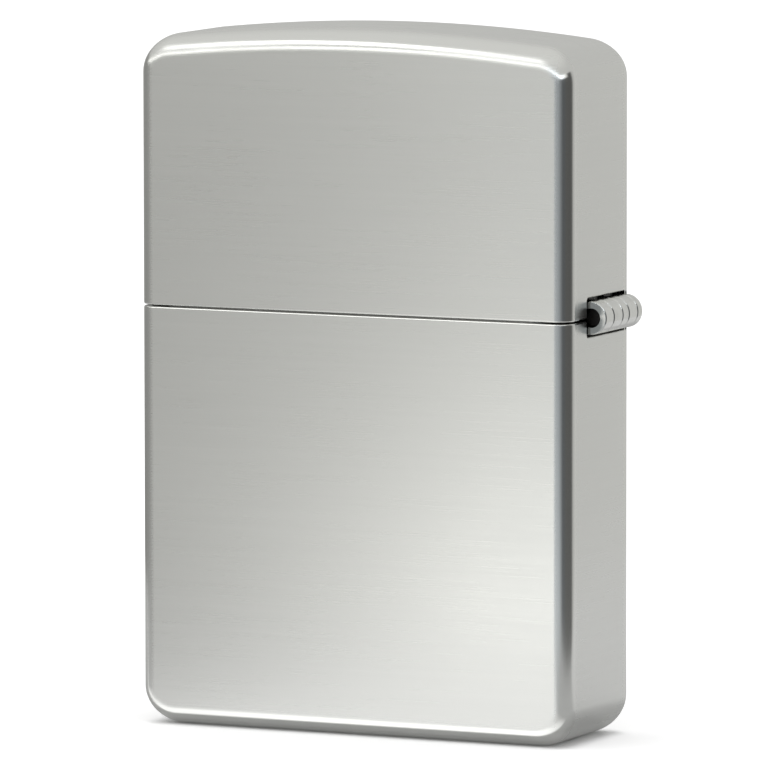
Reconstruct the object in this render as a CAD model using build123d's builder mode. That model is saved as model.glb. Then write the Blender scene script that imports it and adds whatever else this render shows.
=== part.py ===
"""Flip-top wick lighter: an outer case with a hinged lid, and the fuel insert that stands inside it.

Millimetres, +Z up. The origin is the centre of the case's base. X runs along the width with the
hinge on the +X side, and Y runs through the thickness.
"""

import os
from math import cos, radians, sin

from build123d import *

# ---- Outer case -------------------------------------------------------------------------------
case_width = 38.1  # over the two narrow sides, without the hinge
case_depth = 12.5
case_height = 57.0  # to the crown of the lid
split_height = 34.1  # the seam between case and lid
case_wall = 0.7
case_edge = 1.6  # rounding of the long edges around both wide faces
case_corner = 2.6  # rounding of the four corners seen on a wide face
crown_radius = 148.0  # the lid's top is a shallow arch across the width
base_recess = 0.4  # the base is dished, so that it stands on a rim
base_rim = 2.4
seam_gap = 0.12
seam_edge = 0.14  # rounding of both shells' rims at the seam

# ---- Hinge ------------------------------------------------------------------------------------
pin_outset = 0.24  # from the case's side to the pin's axis
pin_rise = 0.15  # of the pin's axis above the seam
pin_radius = 0.74
pin_clearance = 0.04
pin_recess = 0.5  # of each pin end inside the barrel
leaf_thickness = 0.55
leaf_height = 10.5
leaf_inset = 0.25  # of each leaf's upright edges from the barrel's ends
barrel_front = -2.3  # Y of the barrel's front end
knuckle_lengths = [1.5, 1.65, 1.15, 1.6, 0.9]  # case, lid, case, lid, case
knuckle_gap = 0.08
knuckle_edge = 0.1
notch_clearance = 0.16  # around the barrel in both shells

# ---- Insert: tank and windscreen --------------------------------------------------------------
insert_clearance = 0.15  # to the case and to the hinge leaf
insert_rise = 1.2  # of the tank's top above the seam
insert_seat = 0.05  # to the rounded corners of the case's floor, which stop the insert
insert_wall = 0.45
insert_corner = 2.4
insert_shoulder = 0.7  # rounding around the tank's top
joint_clearance = 0.02  # between pieces pressed or welded together
screen_width = 16.0
screen_depth = 9.3
screen_rise = 17.0  # above the tank's top
screen_wall = 0.4
screen_corner = 2.3
screen_centre = 0.6  # of the windscreen along X
screen_skirt = 0.8  # that reaches below the tank's top wall
screen_foot = 1.2
hole_radius = 1.15
hole_pitch = 3.7  # between columns
hole_row = 4.1  # between the holes of one column
hole_height = 9.4  # of the pattern's centre above the tank's top
spark_window_sill = 1.0
spark_window_height = 12.0
wick_plate_thickness = 0.4

# ---- Insert: wheel and flint ------------------------------------------------------------------
wheel_radius = 3.9
wheel_width = 4.4
wheel_offset = 0.6  # between the windscreen and the wheel's teeth
wheel_rise = 6.9  # of the axle above the tank's top
wheel_teeth = 30
wheel_rows = 4
tooth_depth = 0.34
wheel_hub_radius = 2.2
wheel_side_gap = 0.12
axle_radius = 0.9
running_clearance = 0.05
ear_thickness = 0.4
ear_radius = 2.6
rivet_head_radius = 1.5
rivet_head = 0.45
flint_radius = 1.2
flint_length = 5.0
flint_gap = 0.06  # to the wheel's teeth
tube_bore = 1.3
tube_radius = 1.8
tube_rise = 1.2  # above the tank's top
tube_collar_radius = 2.3
tube_collar = 0.35
pusher_length = 2.6
pusher_nub_radius = 0.6
pusher_nub = 1.0
coil_radius = 0.95  # of the flint spring, to its wire's centre
coil_wire = 0.17
coil_turns = 15
screw_head_radius = 2.3
screw_head = 1.5
screw_shank = 4.0
screw_slot_width = 0.6
screw_slot_depth = 0.7

# ---- Insert: cam ------------------------------------------------------------------------------
cam_width = 3.0
cam_offset = 3.6  # of the pivot from the windscreen
cam_rise = 3.2  # of the pivot above the tank's top
cam_body_radius = 2.1
cam_flat = 2.0  # from the pivot to each of the two flats that sit on the spring
cam_nose_radius = 0.8
cam_reach = 6.0  # from the pivot to the nose's centre
cam_closed_angle = 40.0  # of the nose above the horizontal with the lid shut
cam_turn = 40.0  # as the lid opens fully
cam_pin_radius = 0.8
cam_ear_radius = 1.9
cam_ear_gap = 0.12
spring_gap = 0.05
spring_strip = 0.3
spring_width = 2.8
spring_leg = 9.0  # down the inside of the tank
spring_bend = 0.75
spring_rivet_drop = 5.6  # below the strip's top
spring_rivet_radius = 0.7
spring_rivet_head_radius = 1.3
spring_rivet_head = 0.35

# ---- Insert: wick, packing and felt -----------------------------------------------------------
wick_radius = 1.5
wick_height = 12.0  # above the tank's top
wick_clearance = 0.1
wick_layer = 6.0  # between the wick's runs through the packing
wick_bend = 2.9
wick_left = -6.4
wick_right = 14.3
wick_runs = 4
packing_edge = 1.1
packing_corner = 2.2  # seen from above
packing_side = 0.2  # to the tank's walls
felt_thickness = 2.0
felt_lift = 0.5  # above the tank's lower edge
screw_lift = 0.2
felt_hole = 2.7
felt_pull_hole = 1.3

# ---- Worked out from the sizes above ----------------------------------------------------------
half_width = case_width / 2
half_depth = case_depth / 2
floor_top = case_wall + base_recess

pin_x = half_width + pin_outset
pin_z = split_height + pin_rise
bore_radius = pin_radius + pin_clearance
barrel_radius = bore_radius + leaf_thickness
leaf_out = half_width - case_wall
leaf_in = leaf_out - leaf_thickness
barrel_length = sum(knuckle_lengths) + knuckle_gap * (len(knuckle_lengths) - 1)
barrel_back = barrel_front + barrel_length
barrel_centre = (barrel_front + barrel_back) / 2
notch_radius = barrel_radius + notch_clearance

insert_left = -half_width + case_wall + insert_clearance
insert_right = leaf_in - insert_clearance
insert_width = insert_right - insert_left
insert_centre = (insert_left + insert_right) / 2
insert_depth = case_depth - 2 * (case_wall + insert_clearance)
insert_top = split_height + insert_rise
floor_corner = case_corner - case_wall
floor_step = floor_corner - (floor_corner**2 - (floor_corner - insert_clearance) ** 2) ** 0.5
insert_low = floor_top + floor_step + insert_seat
tank_left = insert_left + insert_wall
tank_right = insert_right - insert_wall
tank_centre = (tank_left + tank_right) / 2
tank_width = tank_right - tank_left
tank_depth = insert_depth - 2 * insert_wall
tank_ceiling = insert_top - insert_wall
skirt_low = tank_ceiling - screen_skirt

screen_left = screen_centre - screen_width / 2
screen_right = screen_centre + screen_width / 2
screen_top = insert_top + screen_rise
plate_low = skirt_low + 0.2

wheel_x = screen_left - wheel_offset - wheel_radius
wheel_z = insert_top + wheel_rise
ear_inner = wheel_width / 2 + 2 * wheel_side_gap
ear_outer = ear_inner + ear_thickness

flint_top = wheel_z - wheel_radius - flint_gap
flint_low = flint_top - flint_length
screw_low = insert_low + screw_lift
tube_low = screw_low + screw_head
shank_top = tube_low + screw_shank
pusher_low = flint_low - pusher_length

cam_x = screen_right + cam_offset
cam_z = insert_top + cam_rise
cam_ear_inner = cam_width / 2 + cam_ear_gap
cam_ear_outer = cam_ear_inner + ear_thickness
spring_top = cam_z - cam_body_radius - spring_gap

felt_low = insert_low + felt_lift
felt_top = felt_low + felt_thickness
wick_x = screen_centre
wick_top = insert_top + wick_height
wick_high_run = tank_ceiling - 7.3  # the top run lies under the first ball of packing
strip_x = tank_right - spring_strip / 2
strip_z = spring_top - spring_strip / 2


def case_form(inset: float, floor: float) -> Part:
    """The closed case's rounded block, taken in by inset on every side, standing on floor."""
    half = half_width - inset
    crown = case_height - inset
    radius = crown_radius - inset
    shoulder = crown - radius + (radius**2 - half**2) ** 0.5
    with BuildPart() as form:
        with BuildSketch(Plane.XZ.offset(-(half_depth - inset))) as outline:
            with BuildLine():
                Polyline((-half, shoulder), (-half, floor), (half, floor), (half, shoulder))
                ThreePointArc((half, shoulder), (0, crown), (-half, shoulder))
            make_face()
            fillet(outline.vertices(), case_corner - inset)
        extrude(amount=case_depth - 2 * inset)
        wide_faces = form.faces().sort_by(Axis.Y)
        fillet(wide_faces[0].edges() + wide_faces[-1].edges(), case_edge - inset)
    return form.part


def case_shell() -> Part:
    """The whole hollow case before it is cut at the seam."""
    with BuildPart() as shell:
        add(case_form(0, 0))
        add(case_form(case_wall, floor_top), mode=Mode.SUBTRACT)
    return shell.part


def hinge_notch() -> Part:
    """The window for the barrel, cut through the +X side of both shells."""
    with BuildPart() as notch:
        with BuildSketch(Plane.YZ.offset(leaf_in)):
            with Locations((barrel_centre, pin_z)):
                RectangleRounded(barrel_length + 2 * notch_clearance, 2 * notch_radius, 0.3)
        extrude(amount=case_wall + leaf_thickness + pin_outset)
    return notch.part


def write(piece: BuildPart, label: str) -> None:
    """Gives a finished piece its name and writes it."""
    piece.part.label = label
    export_step(piece.part, f"parts/{label}.step")


os.makedirs("parts", exist_ok=True)

# ---- Outer shells -----------------------------------------------------------------------------
with BuildPart() as bottom_case:
    add(case_shell())
    split(bisect_by=Plane.XY.offset(split_height - seam_gap / 2), keep=Keep.BOTTOM)
    fillet(bottom_case.edges().group_by(Axis.Z)[-1], seam_edge)
    add(hinge_notch(), mode=Mode.SUBTRACT)
    with BuildSketch(Plane.XY):
        RectangleRounded(
            case_width - 2 * (case_corner + base_rim / 2),
            case_depth - 2 * base_rim,
            base_rim,
        )
    extrude(amount=base_recess, taper=30, mode=Mode.SUBTRACT)
write(bottom_case, "bottom_case")

with BuildPart() as lid:
    add(case_shell())
    split(bisect_by=Plane.XY.offset(split_height + seam_gap / 2), keep=Keep.TOP)
    fillet(lid.edges().group_by(Axis.Z)[0], seam_edge)
    add(hinge_notch(), mode=Mode.SUBTRACT)
write(lid, "lid")


# ---- Hinge: two leaves with rolled knuckles, and the pin ---------------------------------------
def knuckle_spans() -> list[tuple[float, float]]:
    """The low and high Y of each of the five knuckles."""
    spans = []
    low = barrel_front
    for length in knuckle_lengths:
        spans.append((low, low + length))
        low += length + knuckle_gap
    return spans


def hinge_leaf(spans: list[tuple[float, float]], up: int) -> Part:
    """A plate inside the shell's side, with a strap out to each rolled knuckle; up is 1 or -1."""
    strap_in = pin_z + up * bore_radius
    strap_out = pin_z + up * barrel_radius
    plate_start = pin_z + up * notch_radius
    with BuildPart() as leaf:
        for low, high in spans:
            with BuildSketch(Plane.XZ.offset(-high)):
                with Locations((pin_x, pin_z)):
                    Circle(barrel_radius)
            extrude(amount=high - low)
        fillet(leaf.edges().filter_by(GeomType.CIRCLE), knuckle_edge)
        for low, high in spans:
            with BuildSketch(Plane.XZ.offset(-high)):
                with BuildLine():
                    Polyline(
                        (pin_x, strap_in),
                        (pin_x, strap_out),
                        (leaf_out, strap_out),
                        (leaf_out, plate_start),
                        (leaf_in, plate_start),
                        (leaf_in, strap_in),
                        close=True,
                    )
                make_face()
            extrude(amount=high - low)
        with BuildSketch(Plane.YZ.offset(leaf_in)):
            with Locations((barrel_centre, (plate_start + pin_z + up * leaf_height) / 2)):
                Rectangle(barrel_length - 2 * leaf_inset, leaf_height - notch_radius)
        extrude(amount=leaf_out - leaf_in)
        with BuildSketch(Plane.XZ.offset(-2 * barrel_length)):
            with Locations((pin_x, pin_z)):
                Circle(bore_radius)
        extrude(amount=4 * barrel_length, mode=Mode.SUBTRACT)
    return leaf.part


with BuildPart() as case_hinge_leaf:
    add(hinge_leaf(knuckle_spans()[0::2], -1))
write(case_hinge_leaf, "case_hinge_leaf")

with BuildPart() as lid_hinge_leaf:
    add(hinge_leaf(knuckle_spans()[1::2], 1))
write(lid_hinge_leaf, "lid_hinge_leaf")

with BuildPart() as hinge_pin:
    with BuildSketch(Plane.XZ.offset(-(barrel_back - pin_recess))):
        with Locations((pin_x, pin_z)):
            Circle(pin_radius)
    extrude(amount=barrel_length - 2 * pin_recess)
    chamfer(hinge_pin.edges().filter_by(GeomType.CIRCLE), 0.12)
write(hinge_pin, "hinge_pin")

# ---- Insert case: the tank, drawn in one piece and open below ----------------------------------
with BuildPart() as insert_case:
    with BuildSketch(Plane.XY.offset(insert_low)):
        with Locations((insert_centre, 0)):
            RectangleRounded(insert_width, insert_depth, insert_corner)
    extrude(amount=insert_top - insert_low)
    fillet(insert_case.edges().group_by(Axis.Z)[-1], insert_shoulder)
    with BuildSketch(Plane.XY.offset(insert_low)):
        with Locations((tank_centre, 0)):
            RectangleRounded(tank_width, tank_depth, insert_corner - insert_wall)
    extrude(amount=tank_ceiling - insert_low, mode=Mode.SUBTRACT)
    with BuildSketch(Plane.XY.offset(tank_ceiling)):
        with Locations((screen_centre, 0)):
            RectangleRounded(
                screen_width + 2 * joint_clearance,
                screen_depth + 2 * joint_clearance,
                screen_corner,
            )
        with Locations((wheel_x, 0)):
            Circle(tube_radius + joint_clearance)
        with Locations((tank_right - spring_bend - spring_strip / 2, 0)):
            Rectangle(2 * spring_bend + spring_strip, spring_width + 0.4)
    extrude(amount=insert_wall, mode=Mode.SUBTRACT)
    with BuildSketch(Plane.YZ.offset(tank_right)):
        with Locations((0, spring_top - spring_rivet_drop)):
            Circle(spring_rivet_radius + joint_clearance)
    extrude(amount=insert_wall, mode=Mode.SUBTRACT)
write(insert_case, "insert_case")

# ---- Windscreen: a drawn tube with ears for the wheel and the cam ------------------------------
with BuildPart() as windscreen:
    with BuildSketch(Plane.XY.offset(skirt_low)):
        with Locations((screen_centre, 0)):
            RectangleRounded(screen_width, screen_depth, screen_corner)
    extrude(amount=screen_top - skirt_low)
    with BuildSketch(Plane.XY.offset(tank_ceiling - screen_wall)):
        with Locations((screen_centre, 0)):
            Rectangle(screen_width + 2 * screen_foot, screen_depth - 2 * screen_corner)
    extrude(amount=screen_wall)
    with BuildSketch(Plane.XY.offset(skirt_low)):
        with Locations((screen_centre, 0)):
            RectangleRounded(
                screen_width - 2 * screen_wall,
                screen_depth - 2 * screen_wall,
                screen_corner - screen_wall,
            )
    extrude(amount=screen_top - skirt_low, mode=Mode.SUBTRACT)
    # Air holes: columns of three, two and three, through both wide walls.
    with BuildSketch(Plane.XZ.offset(-screen_depth)):
        for column, count in ((-1, 3), (0, 2), (1, 3)):
            for row in range(count):
                height = hole_height + (row - (count - 1) / 2) * hole_row
                with Locations((screen_centre + column * hole_pitch, insert_top + height)):
                    Circle(hole_radius)
    extrude(amount=2 * screen_depth, mode=Mode.SUBTRACT)
    # The spark window towards the wheel.
    with BuildSketch(Plane.YZ.offset(screen_left - screen_wall)):
        with Locations((0, insert_top + spark_window_sill + spark_window_height / 2)):
            RectangleRounded(2 * ear_inner, spark_window_height, 0.8)
    extrude(amount=3 * screen_wall, mode=Mode.SUBTRACT)
    # Wheel ears, then cam ears: pairs of plates that stand on the tank's top.
    for side in (-1, 1):
        with BuildSketch(Plane.XZ.offset(-side * (ear_inner + ear_thickness / 2))):
            with Locations((wheel_x, wheel_z)):
                Circle(ear_radius)
            with BuildLine():
                Polyline(
                    (wheel_x - ear_radius, insert_top),
                    (screen_left + screen_wall / 2, insert_top),
                    (screen_left + screen_wall / 2, wheel_z + ear_radius),
                    (wheel_x, wheel_z + ear_radius),
                    (wheel_x, wheel_z),
                    (wheel_x - ear_radius, wheel_z),
                    close=True,
                )
            make_face()
            with Locations((wheel_x, wheel_z)):
                Circle(axle_radius + joint_clearance, mode=Mode.SUBTRACT)
        extrude(amount=ear_thickness / 2, both=True)
        with BuildSketch(Plane.XZ.offset(-side * (cam_ear_inner + ear_thickness / 2))):
            with Locations((cam_x, cam_z)):
                Circle(cam_ear_radius)
            with BuildLine():
                Polyline(
                    (screen_right - screen_wall / 2, insert_top),
                    (cam_x + cam_ear_radius, insert_top),
                    (cam_x + cam_ear_radius, cam_z),
                    (cam_x, cam_z),
                    (cam_x, cam_z + cam_ear_radius),
                    (screen_right - screen_wall / 2, cam_z + cam_ear_radius),
                    close=True,
                )
            make_face()
            with Locations((cam_x, cam_z)):
                Circle(cam_pin_radius + joint_clearance, mode=Mode.SUBTRACT)
        extrude(amount=ear_thickness / 2, both=True)
write(windscreen, "windscreen")

with BuildPart() as wick_plate:
    with BuildSketch(Plane.XY.offset(plate_low)):
        with Locations((screen_centre, 0)):
            RectangleRounded(
                screen_width - 2 * (screen_wall + joint_clearance),
                screen_depth - 2 * (screen_wall + joint_clearance),
                screen_corner - screen_wall,
            )
        with Locations((wick_x, 0)):
            Circle(wick_radius + wick_clearance, mode=Mode.SUBTRACT)
    extrude(amount=wick_plate_thickness)
write(wick_plate, "wick_plate")

# ---- Flint wheel and its rivet -----------------------------------------------------------------
with BuildPart() as flint_wheel:
    row_width = wheel_width / wheel_rows
    pitch = 360 / wheel_teeth
    for row in range(wheel_rows):
        start = -wheel_width / 2 + row * row_width
        with BuildSketch(Plane.XZ.offset(-(start + row_width))):
            with Locations((wheel_x, wheel_z)):
                Circle(wheel_radius)
                with PolarLocations(wheel_radius, wheel_teeth, start_angle=row * pitch / 2):
                    with Locations(Location((0, 0, 0), 20)):
                        RegularPolygon(tooth_depth, 3, mode=Mode.SUBTRACT)
        extrude(amount=row_width)
    with BuildSketch(Plane.XZ.offset(-(wheel_width / 2 + wheel_side_gap))):
        with Locations((wheel_x, wheel_z)):
            Circle(wheel_hub_radius)
    extrude(amount=wheel_width + 2 * wheel_side_gap)
    with BuildSketch(Plane.XZ.offset(-wheel_width)):
        with Locations((wheel_x, wheel_z)):
            Circle(axle_radius + running_clearance)
    extrude(amount=2 * wheel_width, mode=Mode.SUBTRACT)
write(flint_wheel, "flint_wheel")


def rivet(x: float, z: float, radius: float, outer: float, head_radius: float) -> Part:
    """A rivet along Y through a pair of ears whose outer faces are at +outer and -outer."""
    with BuildPart() as made:
        with BuildSketch(Plane.XZ.offset(-outer)):
            with Locations((x, z)):
                Circle(radius)
        extrude(amount=2 * outer)
        for side in (-1, 1):
            with BuildSketch(Plane.XZ.offset(-side * (outer + rivet_head / 2))):
                with Locations((x, z)):
                    Circle(head_radius)
            extrude(amount=rivet_head / 2, both=True)
        ends = made.faces().sort_by(Axis.Y)
        fillet(ends[0].edges() + ends[-1].edges(), 0.8 * rivet_head)
    return made.part


with BuildPart() as wheel_rivet:
    add(rivet(wheel_x, wheel_z, axle_radius, ear_outer, rivet_head_radius))
write(wheel_rivet, "wheel_rivet")

# ---- Cam, its rivet and its spring --------------------------------------------------------------
with BuildPart() as cam:
    nose_x = cam_x + cam_reach * cos(radians(cam_closed_angle))
    nose_z = cam_z + cam_reach * sin(radians(cam_closed_angle))
    with BuildSketch(Plane.XZ.offset(-cam_width / 2)):
        with BuildSketch(Plane.XY) as outline:
            with Locations((cam_x, cam_z)):
                Circle(cam_body_radius)
            with Locations((nose_x, nose_z)):
                Circle(cam_nose_radius)
            make_hull()
            # A flat for each of the two rest positions.
            for turn in (0, cam_turn):
                with Locations(Location((cam_x, cam_z, 0), turn)):
                    with Locations((0, -cam_flat - cam_body_radius)):
                        Rectangle(4 * cam_body_radius, 2 * cam_body_radius, mode=Mode.SUBTRACT)
            with Locations((cam_x, cam_z)):
                Circle(cam_pin_radius + running_clearance, mode=Mode.SUBTRACT)
    extrude(amount=cam_width)
write(cam, "cam")

with BuildPart() as cam_rivet:
    add(rivet(cam_x, cam_z, cam_pin_radius, cam_ear_outer, rivet_head_radius - 0.2))
write(cam_rivet, "cam_rivet")

with BuildPart() as cam_spring:
    with BuildSketch(Plane.XZ.offset(-spring_width / 2)):
        with BuildLine() as strip:
            FilletPolyline(
                (screen_right + 0.6, strip_z),
                (strip_x, strip_z),
                (strip_x, spring_top - spring_leg),
                radius=spring_bend,
            )
            offset(amount=spring_strip / 2)
        make_face()
    extrude(amount=spring_width)
    with BuildSketch(Plane.YZ.offset(tank_right - spring_strip)):
        with Locations((0, spring_top - spring_rivet_drop)):
            Circle(spring_rivet_radius + joint_clearance)
    extrude(amount=spring_strip, mode=Mode.SUBTRACT)
write(cam_spring, "cam_spring")

with BuildPart() as spring_rivet:
    with BuildSketch(Plane.YZ.offset(tank_right - spring_strip - spring_rivet_head)):
        with Locations((0, spring_top - spring_rivet_drop)):
            Circle(spring_rivet_head_radius)
    extrude(amount=spring_rivet_head)
    with BuildSketch(Plane.YZ.offset(tank_right - spring_strip)):
        with Locations((0, spring_top - spring_rivet_drop)):
            Circle(spring_rivet_radius)
    extrude(amount=spring_strip + insert_wall)
    fillet(spring_rivet.edges().sort_by(Axis.X)[0], 0.6 * spring_rivet_head)
write(spring_rivet, "spring_rivet")

# ---- Flint, its tube, pusher, spring and screw --------------------------------------------------
with BuildPart() as flint_tube:
    with BuildSketch(Plane.XY.offset(tube_low)):
        with Locations((wheel_x, 0)):
            Circle(tube_radius)
    extrude(amount=insert_top + tube_rise - tube_low)
    with BuildSketch(Plane.XY.offset(insert_top)):
        with Locations((wheel_x, 0)):
            Circle(tube_collar_radius)
    extrude(amount=tube_collar)
    with BuildSketch(Plane.XY.offset(tube_low)):
        with Locations((wheel_x, 0)):
            Circle(tube_bore)
    extrude(amount=insert_top + tube_rise - tube_low, mode=Mode.SUBTRACT)
write(flint_tube, "flint_tube")

with BuildPart() as flint:
    with BuildSketch(Plane.XY.offset(flint_low)):
        with Locations((wheel_x, 0)):
            Circle(flint_radius)
    extrude(amount=flint_length + flint_radius)
    # The top is worn to the wheel's curve.
    with BuildSketch(Plane.XZ.offset(-2 * flint_radius)):
        with Locations((wheel_x, wheel_z)):
            Circle(wheel_radius + flint_gap)
    extrude(amount=4 * flint_radius, mode=Mode.SUBTRACT)
write(flint, "flint")

with BuildPart() as flint_pusher:
    with BuildSketch(Plane.XY.offset(pusher_low + pusher_nub)):
        with Locations((wheel_x, 0)):
            Circle(flint_radius)
    extrude(amount=pusher_length - pusher_nub)
    with BuildSketch(Plane.XY.offset(pusher_low)):
        with Locations((wheel_x, 0)):
            Circle(pusher_nub_radius)
    extrude(amount=pusher_nub)
write(flint_pusher, "flint_pusher")

with BuildPart() as flint_spring:
    coil_low = shank_top + coil_wire
    coil_high = pusher_low + pusher_nub - coil_wire
    with BuildLine(Plane(origin=(wheel_x, 0, coil_low))) as coil:
        Helix(
            pitch=(coil_high - coil_low) / coil_turns,
            height=coil_high - coil_low,
            radius=coil_radius,
        )
    with BuildSketch(Plane(origin=coil.line @ 0, z_dir=coil.line % 0)):
        Circle(coil_wire)
    sweep(path=coil.line, is_frenet=True)
write(flint_spring, "flint_spring")

with BuildPart() as flint_screw:
    with BuildSketch(Plane.XY.offset(screw_low)):
        with Locations((wheel_x, 0)):
            Circle(screw_head_radius)
    extrude(amount=screw_head)
    fillet(flint_screw.edges().group_by(Axis.Z)[0], 0.3)
    with BuildSketch(Plane.XY.offset(tube_low)):
        with Locations((wheel_x, 0)):
            Circle(tube_bore - joint_clearance)
    extrude(amount=screw_shank)
    with BuildSketch(Plane.XY.offset(shank_top)):
        with Locations((wheel_x, 0)):
            Circle(pusher_nub_radius)
    extrude(amount=pusher_nub)
    with BuildSketch(Plane.XY.offset(screw_low)):
        with Locations((wheel_x, 0)):
            Rectangle(screw_slot_width, 2 * screw_head_radius)
    extrude(amount=screw_slot_depth, mode=Mode.SUBTRACT)
write(flint_screw, "flint_screw")

# ---- Wick: up through the windscreen from a zigzag in the packing -------------------------------
run_heights = [wick_high_run - run * wick_layer for run in range(wick_runs)]
wick_points = [(wick_x, wick_top)]
wick_end = wick_x
for run, height in enumerate(run_heights):
    wick_points.append((wick_end, height))
    wick_end = wick_left if run % 2 else wick_right
    wick_points.append((wick_end, height))

with BuildPart() as wick:
    with BuildLine(Plane.XZ) as wick_path:
        FilletPolyline(*wick_points, radius=wick_bend)
    with BuildSketch(Plane(origin=wick_path.line @ 0, z_dir=wick_path.line % 0)):
        Circle(wick_radius)
    sweep(path=wick_path.line)
write(wick, "wick")


# ---- Packing: wads of cotton between the wick's runs, and one round the flint tube -------------
def wad(left: float, right: float, low: float, high: float, hole_x: float, hole: float) -> Part:
    """A puffed block of cotton, with an upright hole unless hole is 0."""
    with BuildPart() as made:
        with BuildSketch(Plane.XY.offset(low)):
            with Locations(((left + right) / 2, 0)):
                RectangleRounded(right - left, tank_depth - 2 * packing_side, packing_corner)
        extrude(amount=high - low)
        fillet(made.edges().group_by(Axis.Z)[0] + made.edges().group_by(Axis.Z)[-1], packing_edge)
        if hole:
            with BuildSketch(Plane.XY.offset(low)):
                with Locations((hole_x, 0)):
                    Circle(hole)
            extrude(amount=high - low, mode=Mode.SUBTRACT)
    return made.part


wad_left = wick_left - wick_radius - wick_clearance
wad_right = tank_right - spring_strip - spring_rivet_head - packing_side
turn_left = wick_left + wick_radius + wick_clearance
turn_right = wick_right - wick_radius - wick_clearance
wick_half = wick_radius + wick_clearance
wads = [
    (wad_left, wad_right, run_heights[0] + wick_bend, skirt_low - wick_clearance),
    (wad_left, turn_right, run_heights[1] + wick_half, run_heights[0] - wick_half),
    (turn_left, wad_right, run_heights[2] + wick_half, run_heights[1] - wick_half),
    (wad_left, turn_right, run_heights[3] + wick_half, run_heights[2] - wick_half),
    (wad_left, wad_right, felt_top + wick_clearance, run_heights[3] - wick_half),
]
for number, (left, right, low, high) in enumerate(wads, start=1):
    with BuildPart() as packing_ball:
        add(wad(left, right, low, high, wick_x, wick_half if number == 1 else 0))
    write(packing_ball, f"packing_ball_{number}")

with BuildPart() as packing_ball_6:
    side_left = tank_left + packing_side
    side_right = wad_left - packing_side
    side_low = felt_top + wick_clearance
    side_high = skirt_low - wick_clearance
    add(wad(side_left, side_right, side_low, side_high, wheel_x, tube_radius + wick_clearance))
write(packing_ball_6, "packing_ball_6")

# ---- Felt pad that closes the tank from below ---------------------------------------------------
with BuildPart() as felt_pad:
    with BuildSketch(Plane.XY.offset(felt_low)):
        with Locations((tank_centre, 0)):
            RectangleRounded(
                tank_width - 2 * joint_clearance,
                tank_depth - 2 * joint_clearance,
                insert_corner - insert_wall,
            )
        with Locations((wheel_x, 0)):
            Circle(felt_hole, mode=Mode.SUBTRACT)
        with Locations((tank_right - 3 * felt_pull_hole, 0)):
            Circle(felt_pull_hole, mode=Mode.SUBTRACT)
    extrude(amount=felt_thickness)
write(felt_pad, "felt_pad")
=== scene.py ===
"""Looks of a flip-top wick lighter, laid over its CAD frame.

Metres, +Z up, in the frame of the CAD: X runs along the width with the hinge on the +X side,
Y through the thickness, and the base stands on Z = 0.
"""

from math import atan2, cos, pi, radians, sin, sqrt

import bmesh
import bpy
from mathutils import Matrix, Vector


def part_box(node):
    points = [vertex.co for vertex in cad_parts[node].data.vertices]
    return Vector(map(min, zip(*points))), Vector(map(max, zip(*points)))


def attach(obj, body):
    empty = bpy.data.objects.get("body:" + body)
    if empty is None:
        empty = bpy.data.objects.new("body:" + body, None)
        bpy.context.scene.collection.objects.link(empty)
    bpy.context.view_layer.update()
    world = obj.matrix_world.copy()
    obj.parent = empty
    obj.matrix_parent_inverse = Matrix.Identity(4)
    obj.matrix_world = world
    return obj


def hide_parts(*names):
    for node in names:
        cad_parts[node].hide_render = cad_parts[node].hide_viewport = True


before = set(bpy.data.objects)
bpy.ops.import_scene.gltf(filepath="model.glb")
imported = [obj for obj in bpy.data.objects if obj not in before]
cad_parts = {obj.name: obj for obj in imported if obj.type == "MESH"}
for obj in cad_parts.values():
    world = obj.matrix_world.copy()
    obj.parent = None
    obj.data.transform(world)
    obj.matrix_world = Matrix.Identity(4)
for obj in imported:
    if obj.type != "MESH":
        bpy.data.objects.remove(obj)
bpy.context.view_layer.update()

bl_info = {
    "name": "Flip-top wick lighter",
    "version": (1, 0, 0),
    "blender": (4, 5, 0),
    "location": "View3D > Sidebar > Lighter",
    "description": "Makes the lighter's shells, wheel, wick, packing, finishes and studio",
    "category": "Object",
}

MM = 0.001
NUDGE = 0.001  # keeps a whole number whole when it is divided and rounded down

# The low and high corners of the pieces that the looks are fitted to.
lid_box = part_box("lid")
case_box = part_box("bottom_case")
pin_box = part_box("hinge_pin")
leaf_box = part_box("case_hinge_leaf")
screen_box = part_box("windscreen")
wheel_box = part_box("flint_wheel")
wick_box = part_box("wick")
tank_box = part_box("insert_case")


# ---- Node trees written as expressions ----------------------------------------------------------
class Wire:
    """A number socket of a node tree. An expression on it adds its Math nodes to the tree."""

    def __init__(self, board, socket):
        self.board = board
        self.socket = socket

    def math(self, operation, first, second=None, clamp=False):
        values = {0: first} if second is None else {0: first, 1: second}
        settings = {"operation": operation, "use_clamp": clamp}
        return self.board.wire("ShaderNodeMath", settings, values)

    def __add__(self, other):
        return self.math("ADD", self, other)

    def __radd__(self, other):
        return self.math("ADD", other, self)

    def __sub__(self, other):
        return self.math("SUBTRACT", self, other)

    def __rsub__(self, other):
        return self.math("SUBTRACT", other, self)

    def __mul__(self, other):
        return self.math("MULTIPLY", self, other)

    def __rmul__(self, other):
        return self.math("MULTIPLY", other, self)

    def __truediv__(self, other):
        return self.math("DIVIDE", self, other)

    def __rtruediv__(self, other):
        return self.math("DIVIDE", other, self)

    def __mod__(self, other):
        return self.math("FLOORED_MODULO", self, other)

    def __neg__(self):
        return self.math("MULTIPLY", self, -1.0)

    def __abs__(self):
        return self.math("ABSOLUTE", self)

    def clamp(self):
        return self.math("ADD", self, 0.0, clamp=True)

    def floor(self):
        return self.math("FLOOR", self)

    def round(self):
        return self.math("ROUND", self)

    def sin(self):
        return self.math("SINE", self)

    def cos(self):
        return self.math("COSINE", self)


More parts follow.
